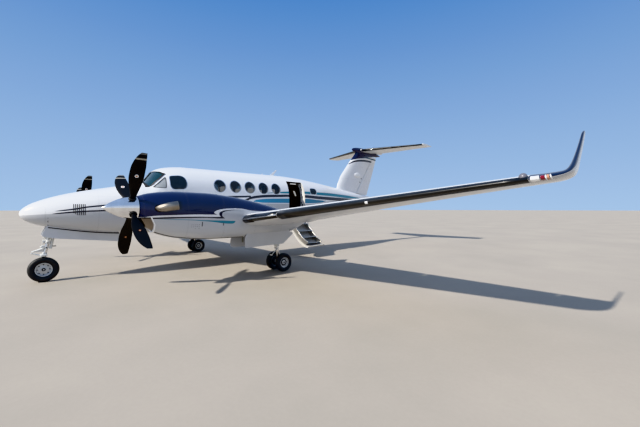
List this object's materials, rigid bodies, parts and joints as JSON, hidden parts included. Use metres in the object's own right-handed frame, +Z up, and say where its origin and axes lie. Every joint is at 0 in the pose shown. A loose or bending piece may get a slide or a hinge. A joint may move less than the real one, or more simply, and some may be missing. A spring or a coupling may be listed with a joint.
{
  "type": "twin turboprop aircraft",
  "caption": "Low-wing twin turboprop business aircraft with a T-tail and winglets, parked on its gear with the cabin stair let down.",
  "frame": {"origin": "on the ground, below the middle of the overall length and span", "axes": "+X to the port wing tip, -Y to the nose, +Z up"},
  "size_m": [17.6636, 13.36, 4.5179],
  "materials": {
    "white_paint": "gloss white paint over the silver lower half",
    "silver_paint": "gloss light grey metallic paint",
    "blue_paint": "gloss deep blue paint with white, navy and teal stripes",
    "navy_paint": "gloss dark navy paint",
    "spinner_chrome": "polished metal",
    "blade_black": "satin black composite blades with light tip bands",
    "hot_steel": "heat-stained bare metal",
    "gear_metal": "light grey enamel and bare pistons",
    "wheel_metal": "light grey enamel",
    "tyre_rubber": "worn black rubber",
    "tinted_glass": "dark tinted acrylic",
    "cabin_trim": "carpet and matt trim",
    "seat_leather": "soft leather",
    "panel_black": "matt black"
  },
  "bodies": {
    "airframe": {"radome": "white_paint", "nose_section": "white_paint", "cabin_shell": "white_paint", "tail_cone": "white_paint", "cabin_floor": "cabin_trim", "windshield_port": "tinted_glass", "windshield_starboard": "tinted_glass", "cockpit_window_port": "tinted_glass", "cockpit_window_starboard": "tinted_glass", "instrument_panel": "panel_black", "pilot_seat_port": "seat_leather", "pilot_seat_starboard": "seat_leather", "cabin_seats_port": "seat_leather", "cabin_seats_starboard": "seat_leather", "wing_root_port": "silver_paint", "wing_root_starboard": "silver_paint", "wing_outer_port": "white_paint", "wing_outer_starboard": "white_paint", "winglet_port": "blue_paint", "winglet_starboard": "blue_paint", "nacelle_port": "blue_paint", "nacelle_starboard": "blue_paint", "engine_port": "hot_steel", "engine_starboard": "hot_steel", "fin": "silver_paint", "tailplane": "navy_paint", "nose_leg": "gear_metal", "nose_gear_door_port": "silver_paint", "nose_gear_door_starboard": "silver_paint", "main_leg_port": "gear_metal", "main_leg_starboard": "gear_metal", "main_gear_door_outer_port": "silver_paint", "main_gear_door_outer_starboard": "silver_paint", "main_gear_door_inner_port": "silver_paint", "main_gear_door_inner_starboard": "silver_paint"},
    "airstair": {"airstair_door": "white_paint", "airstair_steps": "wheel_metal"},
    "propeller_port": {"propeller_port": "blade_black", "spinner_port": "spinner_chrome"},
    "propeller_starboard": {"propeller_starboard": "blade_black", "spinner_starboard": "spinner_chrome"},
    "nose_fork": {"nose_fork": "gear_metal"},
    "nose_wheel": {"nose_wheel": "wheel_metal", "nose_tyre": "tyre_rubber"},
    "main_wheels_port": {"main_wheels_port": "wheel_metal", "main_tyre_outer_port": "tyre_rubber", "main_tyre_inner_port": "tyre_rubber"},
    "main_wheels_starboard": {"main_wheels_starboard": "wheel_metal", "main_tyre_outer_starboard": "tyre_rubber", "main_tyre_inner_starboard": "tyre_rubber"},
    "aileron_port": {"aileron_port": "white_paint"},
    "aileron_starboard": {"aileron_starboard": "white_paint"},
    "flap_inner_port": {"flap_inner_port": "white_paint"},
    "flap_inner_starboard": {"flap_inner_starboard": "white_paint"},
    "flap_outer_port": {"flap_outer_port": "white_paint"},
    "flap_outer_starboard": {"flap_outer_starboard": "white_paint"},
    "elevator_port": {"elevator_port": "silver_paint"},
    "elevator_starboard": {"elevator_starboard": "silver_paint"},
    "rudder": {"rudder": "silver_paint"}
  },
  "joints": [
    {"name": "airstair_hinge", "type": "hinge", "parent": "airframe", "child": "airstair", "pos_m": [0.6593, 0.485, 1.222], "axis": [0, 1, 0], "range_deg": [-133, 0]},
    {"name": "propeller_port_spin", "type": "hinge", "parent": "airframe", "child": "propeller_port", "pos_m": [2.615, -5.195, 1.65], "axis": [0, 1, 0], "continuous": true},
    {"name": "propeller_starboard_spin", "type": "hinge", "parent": "airframe", "child": "propeller_starboard", "pos_m": [-2.615, -5.195, 1.65], "axis": [0, 1, 0], "continuous": true},
    {"name": "nose_steering", "type": "hinge", "parent": "airframe", "child": "nose_fork", "pos_m": [0, -6.268, 0.655], "axis": [0, 0.2172, 0.9761], "range_deg": [-48, 48]},
    {"name": "nose_wheel_spin", "type": "hinge", "parent": "nose_fork", "child": "nose_wheel", "pos_m": [0, -6.295, 0.275], "axis": [1, 0, 0], "continuous": true},
    {"name": "main_wheels_port_spin", "type": "hinge", "parent": "airframe", "child": "main_wheels_port", "pos_m": [2.615, -1.735, 0.235], "axis": [1, 0, 0], "continuous": true},
    {"name": "main_wheels_starboard_spin", "type": "hinge", "parent": "airframe", "child": "main_wheels_starboard", "pos_m": [-2.615, -1.735, 0.235], "axis": [1, 0, 0], "continuous": true},
    {"name": "aileron_port_hinge", "type": "hinge", "parent": "airframe", "child": "aileron_port", "pos_m": [6.78038, -1.80679, 1.78392], "axis": [0.9901, -0.0818, 0.1142], "range_deg": [-16, 24]},
    {"name": "aileron_starboard_hinge", "type": "hinge", "parent": "airframe", "child": "aileron_starboard", "pos_m": [-6.78038, -1.80679, 1.78392], "axis": [0.9901, 0.0818, -0.1142], "range_deg": [-16, 24]},
    {"name": "flap_outer_port_hinge", "type": "hinge", "parent": "airframe", "child": "flap_outer_port", "pos_m": [4.24583, -1.60024, 1.41712], "axis": [-0.988, 0.0803, -0.1318], "range_deg": [0, 35]},
    {"name": "flap_outer_starboard_hinge", "type": "hinge", "parent": "airframe", "child": "flap_outer_starboard", "pos_m": [-4.24583, -1.60024, 1.41712], "axis": [-0.988, -0.0803, 0.1318], "range_deg": [0, 35]},
    {"name": "flap_inner_port_hinge", "type": "hinge", "parent": "airframe", "child": "flap_inner_port", "pos_m": [1.56571, -1.42147, 1.06469], "axis": [-0.9911, 0.0444, -0.1259], "range_deg": [0, 35]},
    {"name": "flap_inner_starboard_hinge", "type": "hinge", "parent": "airframe", "child": "flap_inner_starboard", "pos_m": [-1.56571, -1.42147, 1.06469], "axis": [-0.9911, -0.0444, 0.1259], "range_deg": [0, 35]},
    {"name": "elevator_port_hinge", "type": "hinge", "parent": "airframe", "child": "elevator_port", "pos_m": [1.4025, 6.1544, 4.4075], "axis": [0.9889, 0.1484, 0.0018], "range_deg": [-14, 20]},
    {"name": "elevator_starboard_hinge", "type": "hinge", "parent": "airframe", "child": "elevator_starboard", "pos_m": [-1.4025, 6.1544, 4.4075], "axis": [0.9889, -0.1484, -0.0018], "range_deg": [-14, 20]},
    {"name": "rudder_hinge", "type": "hinge", "parent": "airframe", "child": "rudder", "pos_m": [0, 5.3853, 3.28], "axis": [0, 0.5907, 0.8069], "range_deg": [-25, 25]}
  ],
  "couplings": [
    {"joint": "flap_outer_starboard_hinge", "follows": "flap_outer_port_hinge", "ratio": 1},
    {"joint": "flap_inner_port_hinge", "follows": "flap_outer_port_hinge", "ratio": 1},
    {"joint": "flap_inner_starboard_hinge", "follows": "flap_outer_port_hinge", "ratio": 1},
    {"joint": "elevator_starboard_hinge", "follows": "elevator_port_hinge", "ratio": 1}
  ]
}
